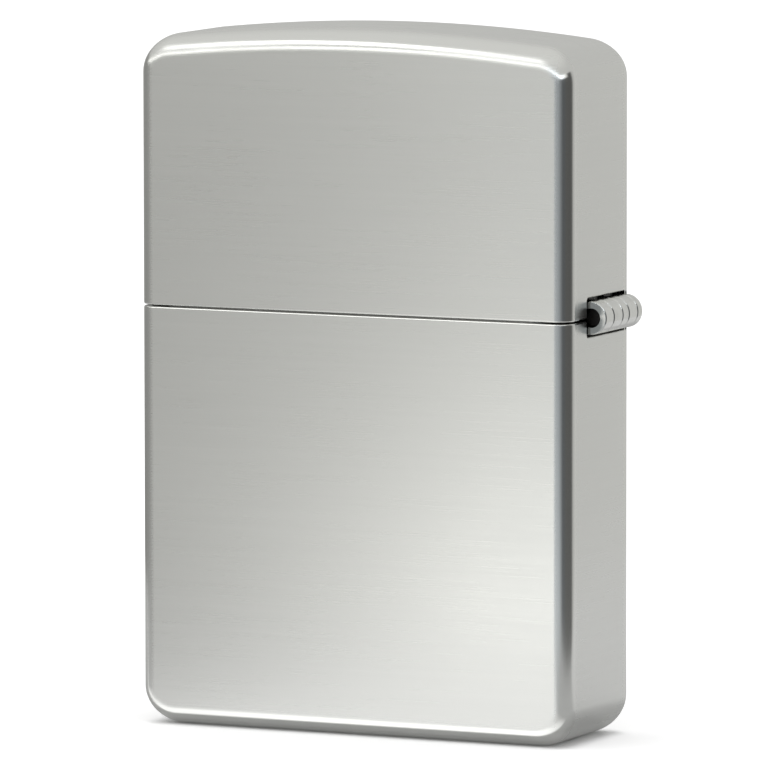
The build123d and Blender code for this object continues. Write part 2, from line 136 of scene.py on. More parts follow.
class Board:
    """Fills one node tree, node by node."""

    def __init__(self, tree):
        self.tree = tree
        tree.nodes.clear()

    def node(self, kind, settings=None, values=None):
        """Adds a node of that kind: its settings first, then its sockets' values or links."""
        made = self.tree.nodes.new(kind)
        for name, value in (settings or {}).items():
            setattr(made, name, value)
        for name, value in (values or {}).items():
            if isinstance(value, Wire):
                self.tree.links.new(value.socket, made.inputs[name])
            else:
                made.inputs[name].default_value = value
        return made

    def wire(self, kind, settings=None, values=None, output=0):
        return Wire(self, self.node(kind, settings, values).outputs[output])

    def mix(self, factor, first, second):
        """A colour between two colours."""
        values = {0: factor, 6: first, 7: second}
        return self.wire("ShaderNodeMix", {"data_type": "RGBA"}, values, 2)

    def vector(self, operation, first, second, output=0):
        values = {0: first, 1: second}
        return self.wire("ShaderNodeVectorMath", {"operation": operation}, values, output)

    def join(self, x, y, z):
        return self.wire("ShaderNodeCombineXYZ", None, {0: x, 1: y, 2: z})

    def split(self, vector):
        made = self.node("ShaderNodeSeparateXYZ", None, {0: vector})
        return [Wire(self, made.outputs[axis]) for axis in range(3)]

    def place(self, geometry, position):
        values = {"Geometry": geometry, "Position": position}
        return self.wire("GeometryNodeSetPosition", None, values)

    def circle(self, resolution, radius):
        values = {"Resolution": resolution, "Radius": radius}
        return self.wire("GeometryNodeCurvePrimitiveCircle", None, values)

    def gather(self, *parts):
        """The parts' geometry as one."""
        both = self.node("GeometryNodeJoinGeometry")
        for part in parts:
            self.tree.links.new(part.socket, both.inputs[0])
        return Wire(self, both.outputs[0])

    def step(self, value, low, high):
        """0 below low, 1 above high, smooth between."""
        settings = {"interpolation_type": "SMOOTHSTEP"}
        return self.wire("ShaderNodeMapRange", settings, {0: value, 1: low, 2: high})

    def noise(self, vector, scale, detail=2.0, roughness=0.5):
        values = {"Vector": vector, "Scale": scale, "Detail": detail, "Roughness": roughness}
        return self.wire("ShaderNodeTexNoise", None, values)


class Rule:
    """A Geometry Nodes tree with named inputs, run once to make a plain mesh."""

    def __init__(self, name, inputs):
        self.tree = bpy.data.node_groups.new(name, "GeometryNodeTree")
        self.board = Board(self.tree)
        self.sockets = {}
        face = self.tree.interface
        face.new_socket(name="Geometry", in_out="INPUT", socket_type="NodeSocketGeometry")
        for label, value in inputs.items():
            kind = "NodeSocketInt" if isinstance(value, int) else "NodeSocketFloat"
            self.sockets[label] = face.new_socket(name=label, in_out="INPUT", socket_type=kind)
            self.sockets[label].default_value = value
        face.new_socket(name="Geometry", in_out="OUTPUT", socket_type="NodeSocketGeometry")
        self.entry = self.board.node("NodeGroupInput")
        self.values = inputs

    def __getitem__(self, label):
        return Wire(self.board, self.entry.outputs[label])

    def end(self, geometry, material):
        real = self.board.wire("GeometryNodeRealizeInstances", None, {0: geometry})
        faced = {"Geometry": real, "Material": material}
        painted = self.board.wire("GeometryNodeSetMaterial", None, faced)
        self.board.node("NodeGroupOutput", None, {0: painted})

    def run(self, name, data=None):
        """The plain mesh object that the tree makes from data, a mesh or curve."""
        holder = link(bpy.data.objects.new(name, data or bpy.data.meshes.new(name)))
        modifier = holder.modifiers.new("rule", "NODES")
        modifier.node_group = self.tree
        for label, socket in self.sockets.items():
            modifier[socket.identifier] = self.values[label]
        return settle(holder)


# ---- Making and finishing meshes ---------------------------------------------------------------
def link(piece):
    bpy.context.scene.collection.objects.link(piece)
    return piece


def settle(holder):
    """A plain mesh of the holder with its modifiers applied, in place of the holder."""
    name = holder.name
    holder.name = name + "_maker"
    bpy.context.view_layer.update()
    depsgraph = bpy.context.evaluated_depsgraph_get()
    mesh = bpy.data.meshes.new_from_object(
        holder.evaluated_get(depsgraph), preserve_all_data_layers=True, depsgraph=depsgraph
    )
    bpy.data.objects.remove(holder)
    mesh.name = name
    return link(bpy.data.objects.new(name, mesh))


def merge(piece, distance=0.004 * MM):
    """Joins doubled points and turns every face outwards."""
    shape = bmesh.new()
    shape.from_mesh(piece.data)
    bmesh.ops.remove_doubles(shape, verts=shape.verts, dist=distance)
    bmesh.ops.dissolve_degenerate(shape, edges=shape.edges, dist=distance)
    bmesh.ops.recalc_face_normals(shape, faces=shape.faces)
    shape.to_mesh(piece.data)
    shape.free()


def paint(piece, material):
    """Gives the whole piece one finish."""
    piece.data.materials.clear()
    piece.data.materials.append(material)
    for face in piece.data.polygons:
        face.material_index = 0


def smooth(piece, angle=35.0):
    piece.data.shade_smooth()
    piece.data.set_sharp_from_angle(angle=radians(angle))


def close_shape(shape, name):
    """A mesh of the closed shape with every face outwards. Frees the shape."""
    bmesh.ops.recalc_face_normals(shape, faces=shape.faces)
    mesh = bpy.data.meshes.new(name)
    shape.to_mesh(mesh)
    shape.free()
    return mesh


def prism(name, outline, depth):
    """A closed prism: the outline's corners, in order, and the same corners moved by depth."""
    shape = bmesh.new()
    face = shape.faces.new([shape.verts.new(corner) for corner in outline])
    far = bmesh.ops.extrude_face_region(shape, geom=[face])["geom"]
    moved = [part for part in far if isinstance(part, bmesh.types.BMVert)]
    bmesh.ops.translate(shape, verts=moved, vec=depth)
    return link(bpy.data.objects.new(name, close_shape(shape, name)))


def rounded_corners(half_a, half_b, radius, steps=8):
    """The corners of a rounded rectangle about the origin, in its own plane."""
    corners = []
    for quarter in range(4):
        turn = quarter * pi / 2
        side_a = (half_a - radius) * (1 if quarter in (0, 3) else -1)
        side_b = (half_b - radius) * (1 if quarter in (0, 1) else -1)
        for step in range(steps + 1):
            angle = turn + step / steps * pi / 2
            corners.append((side_a + radius * cos(angle), side_b + radius * sin(angle)))
    return corners


def lathe(name, profile, centre, steps):
    """A closed ring turned about a line along Y: profile is (radius, y) points in order."""
    shape = bmesh.new()
    rings = []
    for step in range(steps):
        angle = 2 * pi * step / steps
        rings.append([
            shape.verts.new((centre.x + r * cos(angle), centre.y + y, centre.z + r * sin(angle)))
            for r, y in profile
        ])
    for ring, after in zip(rings, rings[1:] + rings[:1]):
        for low in range(len(profile)):
            high = (low + 1) % len(profile)
            shape.faces.new((ring[low], ring[high], after[high], after[low]))
    return close_shape(shape, name)


def copy_of_nodes(name, node):
    """A merged copy of a CAD node's mesh, free to be changed."""
    piece = link(bpy.data.objects.new(name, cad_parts[node].data.copy()))
    piece.data.materials.clear()
    merge(piece, 0.01 * MM)
    return piece


# ---- Finishes ----------------------------------------------------------------------------------
WHITE = (1.0, 1.0, 1.0, 1.0)
BLACK = (0.0, 0.0, 0.0, 1.0)
# Nearly black, painted on metal as shade where it lies in shadow.
PAINTED_SHADE_TONE = (0.07, 0.07, 0.068, 1.0)


def start_material(name):
    material = bpy.data.materials.new(name)
    material.use_nodes = True
    return material, Board(material.node_tree)


def end_material(board, surface):
    board.node("ShaderNodeOutputMaterial", None, {"Surface": surface})


def end_principled(board, height, depth, values):
    """Ends a finish as one principled surface with the height as its bump, depth deep."""
    values["Normal"] = board.wire("ShaderNodeBump", None, {
        "Strength": 1.0, "Distance": depth, "Height": height,
    })
    end_material(board, board.wire("ShaderNodeBsdfPrincipled", None, values))


def scaled(colour, factor):
    """The colour made lighter or darker, held within white."""
    return tuple(min(1.0, part * factor) for part in colour[:3]) + (1.0,)


def brushed(name, colour, roughness, along, across, depth, polish=None, stain=0.03):
    """Metal with fine level brush lines; along and across are the lines' length and pitch.

    polish, if given, is a function of the board and the place that is 1 where edges are buffed.
    """
    material, board = start_material(name)
    place = board.wire("ShaderNodeTexCoord", output="Object")
    facing = board.wire("ShaderNodeTexCoord", output="Normal")
    up = board.step(abs(board.split(facing)[2]), 0.6, 0.8)
    run, pitch = 1 / along, 1 / across
    walls = board.vector("MULTIPLY", place, (run, run, pitch))
    flats = board.vector("MULTIPLY", place, (run, pitch, run))
    fine = board.noise(walls, 1.0, 3.0, 0.6) * (1 - up) + board.noise(flats, 1.0, 3.0, 0.6) * up
    coarse_walls = board.vector("MULTIPLY", place, (run / 3, run / 3, pitch / 6))
    coarse = board.noise(coarse_walls, 1.0, 2.0, 0.5)
    cloud = board.noise(place, 1 / (9 * MM), 3.0, 0.6)
    buffed = polish(board, place) if polish else None
    matt = 1 - buffed if polish else 1.0
    rough = roughness + ((fine - 0.5) * 0.16 + (cloud - 0.5) * 0.06) * matt
    if polish:
        rough = rough - buffed * (roughness * 0.5)
    dull, bright = scaled(colour, 1 - stain), scaled(colour, 1 + stain)
    tone = board.mix((coarse * 0.5 + fine * 0.5).clamp(), dull, bright)
    height = (fine * 0.7 + coarse * 0.6) * matt
    metal = {"Base Color": tone, "Metallic": 1.0, "Roughness": rough.clamp()}
    end_principled(board, height, depth, metal)
    return material


def turned(name, colour, roughness, pitch, depth, grime=0.25, painted_shade_places=None):
    """Metal with fine turning or rolling marks along Y and grime in patches.

    The last argument, if given, is a function of the board and the place that is 1 where the metal
    is painted nearly black as shade.
    """
    material, board = start_material(name)
    place = board.wire("ShaderNodeTexCoord", output="Object")
    stretched = board.vector("MULTIPLY", place, (0.15 / pitch, 1 / pitch, 0.15 / pitch))
    marks = board.noise(stretched, 1.0, 3.0, 0.6)
    patch = board.step(board.noise(place, 1 / (1.6 * MM), 4.0, 0.65), 0.45, 0.75)
    tone = board.mix((patch * 0.7 + marks * 0.3).clamp(), colour, scaled(colour, 1 - grime))
    # Painted shade: where the given places say, the metal is nearly black.
    if painted_shade_places:
        tone = board.mix(painted_shade_places(board, place), tone, PAINTED_SHADE_TONE)
    rough = (roughness + patch * 0.14 + (marks - 0.5) * 0.12).clamp()
    end_principled(board, marks, depth, {"Base Color": tone, "Metallic": 1.0, "Roughness": rough})
    return material


def granular(name, colour, roughness, grain, depth, metallic):
    """A sintered or hardened surface with fine pits."""
    material, board = start_material(name)
    place = board.wire("ShaderNodeTexCoord", output="Object")
    pits = board.noise(place, 1 / grain, 5.0, 0.7)
    cells = board.wire("ShaderNodeTexVoronoi", None, {"Vector": place, "Scale": 1.3 / grain})
    tone = board.mix(board.step(pits, 0.35, 0.65), scaled(colour, 0.55), colour)
    rough = (roughness + (pits - 0.5) * 0.3).clamp()
    height = pits * 0.7 + cells * 0.3
    grainy = {"Base Color": tone, "Metallic": metallic, "Roughness": rough}
    end_principled(board, height, depth, grainy)
    return material


def fibrous(name, colour, shade, fibre, depth, stretch=(1.0, 1.0, 1.0)):
    """Cotton or felt: soft fibres, darker between them, with a little sheen."""
    material, board = start_material(name)
    place = board.wire("ShaderNodeTexCoord", output="Object")
    drawn = board.vector("MULTIPLY", place, stretch)
    tangle = board.noise(drawn, 1 / fibre, 6.0, 0.75)
    clumps = board.noise(place, 0.12 / fibre, 3.0, 0.6)
    tone = board.mix((board.step(tangle, 0.3, 0.62) * 0.75 + clumps * 0.3).clamp(), shade, colour)
    height = tangle * 0.8 + clumps * 0.2
    cloth = {"Base Color": tone, "Roughness": 0.95, "Sheen Weight": 0.3, "Specular IOR Level": 0.2}
    end_principled(board, height, depth, cloth)
    return material


def finish_materials(looks):
    """Every finish of the lighter, by the material slot it belongs to."""
    half_width = case_box[1].x
    half_depth = case_box[1].y
    top = lid_box[1].z
    seam = (lid_box[0].z + case_box[1].z) / 2

    def buffed_edges(board, place):
        """1 along the rounded edges of the wide faces and on the seam's lips."""
        x, y, z = board.split(place)

        def edge(value, half, rounding, inner):
            return board.step(abs(value), half - rounding, half - inner * rounding)

        side = edge(x, half_width, looks.side_round, 0.4)
        face = edge(y, half_depth, looks.end_round, 0.5)
        ends = edge(z - top / 2, top / 2, looks.end_round, 0.5)
        lip = 1 - board.step(abs(z - seam), looks.rim_round * 0.8, looks.rim_round * 1.6)
        return (face * (side + ends) + lip).clamp()

    def painted_shade_behind_wall(board, place):
        """1 where the hinge leaves lie behind the case's side, where they are painted nearly black
        as shade.
        """
        x, _, _ = board.split(place)
        return 1 - board.step(x, half_width - 0.35 * MM, half_width + 0.05 * MM)

    silver = (*looks.silver, 1.0)
    steel = (*looks.steel, 1.0)
    makers = {
        # colour, roughness, line length, line pitch, depth, buffed places, stain
        "satin_chrome": (brushed, silver, looks.satin_roughness, 9 * MM, 0.075 * MM,
                         looks.brush_depth, buffed_edges),
        "insert_steel": (brushed, steel, 0.3, 4 * MM, 0.09 * MM, 0.0035 * MM, None, 0.06),
        # colour, roughness, pitch, depth, grime, places of painted shade
        # The hinge leaves are painted nearly black as shade where they lie behind the case's side.
        "hinge_chrome": (turned, silver, 0.14, 0.12 * MM, 0.002 * MM, 0.1, painted_shade_behind_wall),
        # The pin is painted near black as shade, so that the bore in the barrel's end reads dark.
        "hinge_pin_steel": (turned, (0.05, 0.045, 0.045, 1.0), 0.45, 0.15 * MM, 0.003 * MM),
        "small_steel": (turned, steel, 0.28, 0.15 * MM, 0.003 * MM),
        "spring_steel": (turned, (0.42, 0.43, 0.45, 1.0), 0.3, 0.1 * MM, 0.003 * MM),
        "brass": (turned, (0.78, 0.57, 0.27, 1.0), 0.26, 0.12 * MM, 0.004 * MM),
        # colour, roughness, grain, depth, metallic
        "wheel_steel": (granular, (0.23, 0.235, 0.245, 1.0), 0.42, 0.12 * MM, 0.01 * MM, 1.0),
        "flint_alloy": (granular, (0.16, 0.15, 0.145, 1.0), 0.6, 0.15 * MM, 0.02 * MM, 0.7),
        # colour, shade, fibre, depth, stretch
        "wick_cotton": (fibrous, (0.86, 0.82, 0.72, 1.0), (0.55, 0.5, 0.41, 1.0),
                        0.12 * MM, 0.03 * MM),
        "packing_cotton": (fibrous, (0.9, 0.88, 0.82, 1.0), (0.66, 0.63, 0.57, 1.0),
                           0.25 * MM, 0.08 * MM, (1.0, 0.6, 1.4)),
        "felt": (fibrous, (0.5, 0.49, 0.46, 1.0), (0.26, 0.25, 0.24, 1.0),
                 0.16 * MM, 0.05 * MM, (0.7, 0.7, 1.6)),
    }
    return {slot: make(slot, *values) for slot, (make, *values) in makers.items()}


finishes = {}  # filled by the finishes operator, by material slot

# The CAD pieces that keep their shape, by the material slot they get.
CARRIED_NODES = {
    "hinge_chrome": ("case_hinge_leaf", "lid_hinge_leaf"),
    # The pin's finish is painted near black as shade.
    "hinge_pin_steel": ("hinge_pin",),
    "insert_steel": ("insert_case", "windscreen", "wick_plate"),
    "small_steel": ("wheel_rivet", "cam_rivet", "spring_rivet", "cam", "cam_spring"),
    "spring_steel": ("flint_spring",),
    "brass": ("flint_tube", "flint_screw", "flint_pusher"),
    "flint_alloy": ("flint",),
}


# ---- Sizes and colours a user may change -------------------------------------------------------
def length(label, about, value):
    return bpy.props.FloatProperty(name=label, description=about, default=value, unit="LENGTH",
                                   subtype="DISTANCE", precision=5)


def whole(label, about, value, least):
    return bpy.props.IntProperty(name=label, description=about, default=value, min=least)


def bearing(label, about, degrees):
    return bpy.props.FloatProperty(name=label, description=about, default=radians(degrees),
                                   subtype="ANGLE", unit="ROTATION")


def share(label, about, value):
    return bpy.props.FloatProperty(name=label, description=about, default=value, min=0.0, max=1.0)


def tint(label, about, value):
    return bpy.props.FloatVectorProperty(name=label, description=about, default=value, size=3,
                                         subtype="COLOR", min=0.0, max=1.0)


class LighterLooks(bpy.types.PropertyGroup):
    """Shapes and finishes of the shells."""

    wall: length("Shell wall", "Thickness of the drawn sheet", 0.7 * MM)
    corner: length("Corner radius", "Corners of the wide faces", 3.1 * MM)
    side_round: length("Side rounding", "Upright edges of the wide faces", 1.35 * MM)
    end_round: length("End rounding", "Height of the top edges' rounding", 1.95 * MM)
    end_depth: length("End depth", "Depth of the top edges' rounding", 2.5 * MM)
    base_round: length("Base rounding", "Height of the lower edges' rounding", 1.6 * MM)
    base_depth: length("Base depth", "Depth of the lower edges' rounding", 2.2 * MM)
    crown: length("Crown radius", "Arch of the lid's top", 148 * MM)
    rim_round: length("Rim rounding", "Cut edges at the seam and the hinge", 0.16 * MM)
    notch_gap: length("Notch clearance", "Around the hinge barrel", 0.24 * MM)
    recess: length("Base recess", "Depth of the dished base", 0.35 * MM)
    recess_rim: length("Base rim", "Width of the standing rim", 2.4 * MM)
    silver: tint("Silver", "Satin plating of case and hinge", (0.86, 0.865, 0.84))
    steel: tint("Steel", "Insert and small steel parts", (0.62, 0.62, 0.61))
    satin_roughness: share("Satin roughness", "Of the brushed faces", 0.3)
    brush_depth: length("Brush depth", "Of the satin lines", 0.004 * MM)


class LighterWorks(bpy.types.PropertyGroup):
    """Sizes of the wheel, the wick and the packing."""

    teeth: whole("Teeth", "Round the wheel", 30, 3)
    rows: whole("Tooth rows", "Across the wheel", 4, 1)
    tooth_depth: length("Tooth depth", "Of the wheel's teeth", 0.4 * MM)
    strands: whole("Wick strands", "Each way round", 10, 3)
    strand: length("Strand radius", "Of one cotton strand", 0.27 * MM)
    lay: length("Lay", "Length of one turn of a strand", 7.5 * MM)
    wick_bend: length("Wick bend", "Radius where the wick turns", 2.9 * MM)
    tuft: length("Tuft depth", "Unevenness of the packing", 0.3 * MM)
    rim: length("Hole rim", "Width of the rims round the air holes", 0.16 * MM)


class LighterStudio(bpy.types.PropertyGroup):
    """Camera and light."""

    azimuth: bearing("Azimuth", "Camera round the object", 25.29)
    elevation: bearing("Elevation", "Camera above the horizon", 6.0)
    roll: bearing("Roll", "Camera about its own axis", 0.068)
    distance: length("Distance", "Camera to object", 800 * MM)
    aim: length("Aim", "Height that the camera looks at", 27.91 * MM)
    lens: bpy.props.FloatProperty(name="Lens", description="Focal length in mm", default=464.3)
    floor_tint: tint("Floor", "Floor colour", (0.9, 0.9, 0.9))


class LIGHTER_OT_finishes(bpy.types.Operator):
    """Make the finishes and give them to the pieces that keep their CAD shape"""

    bl_idname = "lighter.finishes"
    bl_label = "Finishes"

    def execute(self, context):
        finishes.update(finish_materials(context.scene.lighter_looks))
        for slot, nodes in CARRIED_NODES.items():
            for node in nodes:
                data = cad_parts[node].data
                for place in range(max(1, len(data.materials))):
                    if place < len(data.materials):
                        data.materials[place] = finishes[slot]
                    else:
                        data.materials.append(finishes[slot])
        return {"FINISHED"}


# ---- Shells ------------------------------------------------------------------------------------
ROUND_STEPS = 12
CORNER_STEPS = 14
CROWN_STEPS = 12
WINDOW_CORNER = 0.3 * MM


def shell_rule(name, looks, material, crowned, inset):
    """The block of a drawn shell, or with an inset, of its hollow: rings from the seam to the end.

    Each ring runs round the thickness. Its rounding grows from the upright edges' radius to the
    end's as the ring turns from the side on to the end.
    """
    box_low, box_high = lid_box if crowned else case_box
    corner = looks.corner - inset
    reach = box_high.x - looks.corner
    past = MM if inset else 0.0
    floor = inset + looks.recess if inset else 0.0
    rule = Rule(name, {
        "Half width": box_high.x - inset,
        "Half depth": box_high.y - inset,
        "Corner": corner,
        "Side rounding": looks.side_round - inset,
        "End rounding": (looks.end_round if crowned else looks.base_round) - inset,
        "End depth": (looks.end_depth if crowned else looks.base_depth) - inset,
        "Crown": looks.crown - inset,
        "Seam": box_low.z - past if crowned else box_high.z + past,
        "End": box_low.z + floor,
        "Round steps": ROUND_STEPS,
        "Corner steps": CORNER_STEPS,
        "Crown steps": CROWN_STEPS,
    })
    board = rule.board
    quarter = rule["Round steps"] + 1.0
    columns = quarter * 4.0
    rings = rule["Corner steps"] + rule["Crown steps"] + 1.0
    grid = board.node("GeometryNodeMeshGrid", None, {
        "Size X": columns, "Size Y": rings, "Vertices X": columns + 1.0, "Vertices Y": rings + 1.0,
    })
    x, y, _ = board.split(board.wire("GeometryNodeInputPosition"))
    column = (x + columns / 2.0).round()
    ring = (y + rings / 2.0).round()

    part = (column / quarter + NUDGE).floor() % 4.0
    local = (column % quarter).round() / rule["Round steps"]
    odd = part % 2.0
    phi = (local * odd + (1 - local) * (1 - odd)) * (pi / 2)
    side_x = 1 - (part / 2.0 + NUDGE).floor() * 2.0
    side_y = ((part + 1.0) / 2.0 + NUDGE).floor() % 2.0 * 2.0 - 1.0

    upright = ring.clamp()
    bend = ((ring - 1.0) / rule["Corner steps"]).clamp()
    across = ((ring - 1.0 - rule["Corner steps"]) / rule["Crown steps"]).clamp()
    seam, end, radius = rule["Seam"], rule["End"], rule["Corner"]
    centre_x = rule["Half width"] - radius
    if crowned:
        low = box_high.z - looks.crown
        rise = sqrt((looks.crown - looks.corner) ** 2 - reach**2)
        shoulder = atan2(rise, reach)
        start_z = low + rise
        turn = bend * shoulder
        sweep = across * (pi / 2 - shoulder) + shoulder
        crown = rule["Crown"]
        out_x = centre_x + radius * turn.cos() + crown * (sweep.cos() - cos(shoulder))
        arch_z = crown * (sweep.sin() - sin(shoulder))
        out_z = seam + upright * (start_z - seam) + radius * turn.sin() + arch_z
        angle = turn + across * (pi / 2 - shoulder)
        normal_x, normal_z = angle.cos(), angle.sin()
    else:
        turn = bend * (pi / 2)
        out_x = centre_x + radius * turn.cos() - across * centre_x
        out_z = seam - upright * (seam - end - radius) - radius * turn.sin()
        normal_x, normal_z = turn.cos(), -turn.sin()
    upright_round = rule["Side rounding"]
    rounding = upright_round + (rule["End depth"] - upright_round) * normal_z * normal_z
    taken = 1 - phi.cos()
    place = board.join(
        side_x * (out_x - normal_x * upright_round * taken),
        side_y * (rule["Half depth"] - rounding + rounding * phi.sin()),
        out_z - normal_z * rule["End rounding"] * taken,
    )
    rule.end(board.place(Wire(board, grid.outputs[0]), place), material)
    return rule


def hinge_window(looks):
    """The block that cuts the barrel's window through the side of both shells."""
    pin_x = (pin_box[0].x + pin_box[1].x) / 2
    pin_z = (pin_box[0].z + pin_box[1].z) / 2
    barrel = leaf_box[1].x - pin_x
    middle = (leaf_box[0].y + leaf_box[1].y) / 2
    half = (leaf_box[1].y - leaf_box[0].y) / 2 + looks.notch_gap
    inner = case_box[1].x - 1.8 * looks.wall
    corners = rounded_corners(half, barrel + looks.notch_gap, WINDOW_CORNER)
    outline = [(inner, middle + a, pin_z + b) for a, b in corners]
    return prism("hinge_window", outline, (4 * looks.wall, 0, 0))


def base_dish(looks):
    """The tapered block that dishes the base."""
    half_x = case_box[1].x - looks.recess_rim
    half_y = case_box[1].y - looks.recess_rim
    low = case_box[0].z - looks.recess
    corners = rounded_corners(half_x, half_y, 0.8 * half_y)
    dish = prism("base_dish", [(a, b, low) for a, b in corners], (0, 0, 2 * looks.recess))
    for vertex in dish.data.vertices:
        if vertex.co.z > case_box[0].z:
            vertex.co.x -= 0.5 * looks.recess * (1 if vertex.co.x > 0 else -1)
            vertex.co.y *= 1 - 0.5 * looks.recess / half_y
    return dish


def span(shape, corners, axis):
    """One flat face over the corners, which lie round a convex outline across the axis."""
    first, second = (axis + 1) % 3, (axis + 2) % 3
    middle = sum((corner.co for corner in corners), Vector()) / len(corners)
    corners.sort(key=lambda v: atan2(v.co[second] - middle[second], v.co[first] - middle[first]))
    shape.faces.new(corners)


def close_block(block):
    """Merges a block's rings, makes each wide face one flat and closes the open end."""
    shape = bmesh.new()
    shape.from_mesh(block.data)
    bmesh.ops.remove_doubles(shape, verts=shape.verts, dist=0.001 * MM)
    wide = max(vertex.co.y for vertex in shape.verts)
    seam = {vertex for edge in shape.edges if len(edge.link_faces) == 1 for vertex in edge.verts}
    near = 0.002 * MM
    faces = [face for face in shape.faces if min(abs(v.co.y) for v in face.verts) > wide - near]
    bmesh.ops.delete(shape, geom=faces, context="FACES")
    for side in (-wide, wide):
        span(shape, [v for v in shape.verts if abs(v.co.y - side) < near], 1)
    span(shape, list(seam), 2)
    bmesh.ops.recalc_face_normals(shape, faces=shape.faces)
    shape.to_mesh(block.data)
    shape.free()


def finish_shell(block, hollow, looks, cutters):
    """Hollows the block, cuts it and rounds its cut edges."""
    close_block(block)
    close_block(hollow)
    for cutter in (hollow, *cutters):
        cut = block.modifiers.new("cut", "BOOLEAN")
        cut.operation = "DIFFERENCE"
        cut.solver = "EXACT"
        cut.object = cutter
    rim = block.modifiers.new("rim", "BEVEL")
    rim.width = looks.rim_round
    rim.segments = 3
    rim.limit_method = "ANGLE"
    rim.angle_limit = radians(50)
    rim.use_clamp_overlap = False
    shell = settle(block)
    smooth(shell, 40)
    weigh = shell.modifiers.new("flats", "WEIGHTED_NORMAL")
    weigh.mode = "FACE_AREA"
    weigh.weight = 100
    weigh.keep_sharp = True
    return settle(shell)


def drawn_shell(name, looks, crowned, cutters):
    """One shell: a block, less its hollow, less the cutters."""
    satin = finishes["satin_chrome"]
    block = shell_rule(name + "_rule", looks, satin, crowned, 0.0).run(name + "_shell")
    hollow_rule = shell_rule(name + "_hollow_rule", looks, satin, crowned, looks.wall)
    hollow = hollow_rule.run(name + "_hollow")
    shell = finish_shell(block, hollow, looks, cutters)
    bpy.data.objects.remove(hollow)
    paint(shell, satin)
    return shell


class LIGHTER_OT_shells(bpy.types.Operator):
    """Make the lid and the bottom case as drawn sheet shells"""

    bl_idname = "lighter.shells"
    bl_label = "Shells"

    def execute(self, context):
        looks = context.scene.lighter_looks
        window = hinge_window(looks)
        dish = base_dish(looks)
        lid = drawn_shell("lid", looks, True, [window])
        case = drawn_shell("case", looks, False, [window, dish])
        for cutter in (window, dish):
            bpy.data.objects.remove(cutter)
        for shell, body, node in ((lid, "lid", "lid"), (case, "case", "bottom_case")):
            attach(shell, body)
            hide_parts(node)
        return {"FINISHED"}


# ---- Wheel -------------------------------------------------------------------------------------
WHEEL_BORE = 0.95 * MM
HUB = 2.2 * MM
HUB_PROUD = 0.12 * MM  # how far the hub stands out of the wheel's sides
WHEEL_EDGE = 0.15 * MM
WHEEL_STEPS = 90


class LIGHTER_OT_wheel(bpy.types.Operator):
    """Make the spark wheel with its staggered rows of teeth"""

    bl_idname = "lighter.wheel"
    bl_label = "Spark wheel"

    def execute(self, context):
        works = context.scene.lighter_works
        low, high = wheel_box
        centre = (low + high) / 2
        root = (high.z - low.z) / 2 - works.tooth_depth
        half_hub = (high.y - low.y) / 2
        half = half_hub - HUB_PROUD
        edge = WHEEL_EDGE
        profile = [
            (WHEEL_BORE, -half_hub), (HUB - edge, -half_hub), (HUB, -half), (root - edge, -half),
            (root, edge - half), (root, half - edge), (root - edge, half), (HUB, half),
            (HUB - edge, half_hub), (WHEEL_BORE, half_hub),
        ]
        core = lathe("wheel_core", profile, centre, WHEEL_STEPS)
        rule = Rule("wheel_rule", {
            "Teeth": works.teeth, "Rows": works.rows, "Root": root, "Tooth": works.tooth_depth,
            "Half width": half, "Centre X": centre.x, "Centre Z": centre.z,
        })
        board = rule.board
        count = rule["Teeth"] * rule["Rows"]
        points = board.wire("GeometryNodePoints", None, {"Count": count})
        index = board.wire("GeometryNodeInputIndex")
        row = (index / rule["Teeth"] + NUDGE).floor()
        around = (index % rule["Teeth"] + row * 0.5) / rule["Teeth"] * (2 * pi)
        pitch = rule["Half width"] * 2.0 / rule["Rows"]
        place = board.join(
            rule["Centre X"] + rule["Root"] * around.cos(),
            pitch * (row + 0.5) - rule["Half width"],
            rule["Centre Z"] + rule["Root"] * around.sin(),
        )
        placed = board.place(points, place)
        tooth = board.wire("GeometryNodeMeshCone", None, {
            "Vertices": 4, "Radius Top": rule["Tooth"] * 0.12, "Radius Bottom": pitch * 0.62,
            "Depth": rule["Tooth"] * 1.05,
        })
        turn = board.join(0.0, pi / 2 - around, 0.0)
        teeth = board.wire("GeometryNodeInstanceOnPoints", None, {
            "Points": placed, "Instance": tooth, "Rotation": turn,
            "Scale": (0.85, 1.0, 1.0),
        })
        rule.end(board.gather(teeth, rule["Geometry"]), finishes["wheel_steel"])
        wheel = rule.run("spark_wheel", core)
        smooth(wheel, 25)
        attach(wheel, "wheel")
        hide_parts("flint_wheel")
        return {"FINISHED"}


# ---- Windscreen --------------------------------------------------------------------------------
SCREEN_X = 0.6 * MM  # the middle of the chimney
HOLE_RADIUS = 1.15 * MM
HOLE_COLUMN_PITCH = 3.7 * MM
HOLE_ROW_PITCH = 4.1 * MM
HOLE_HEIGHT = 9.4 * MM  # of the middle row, above the tank


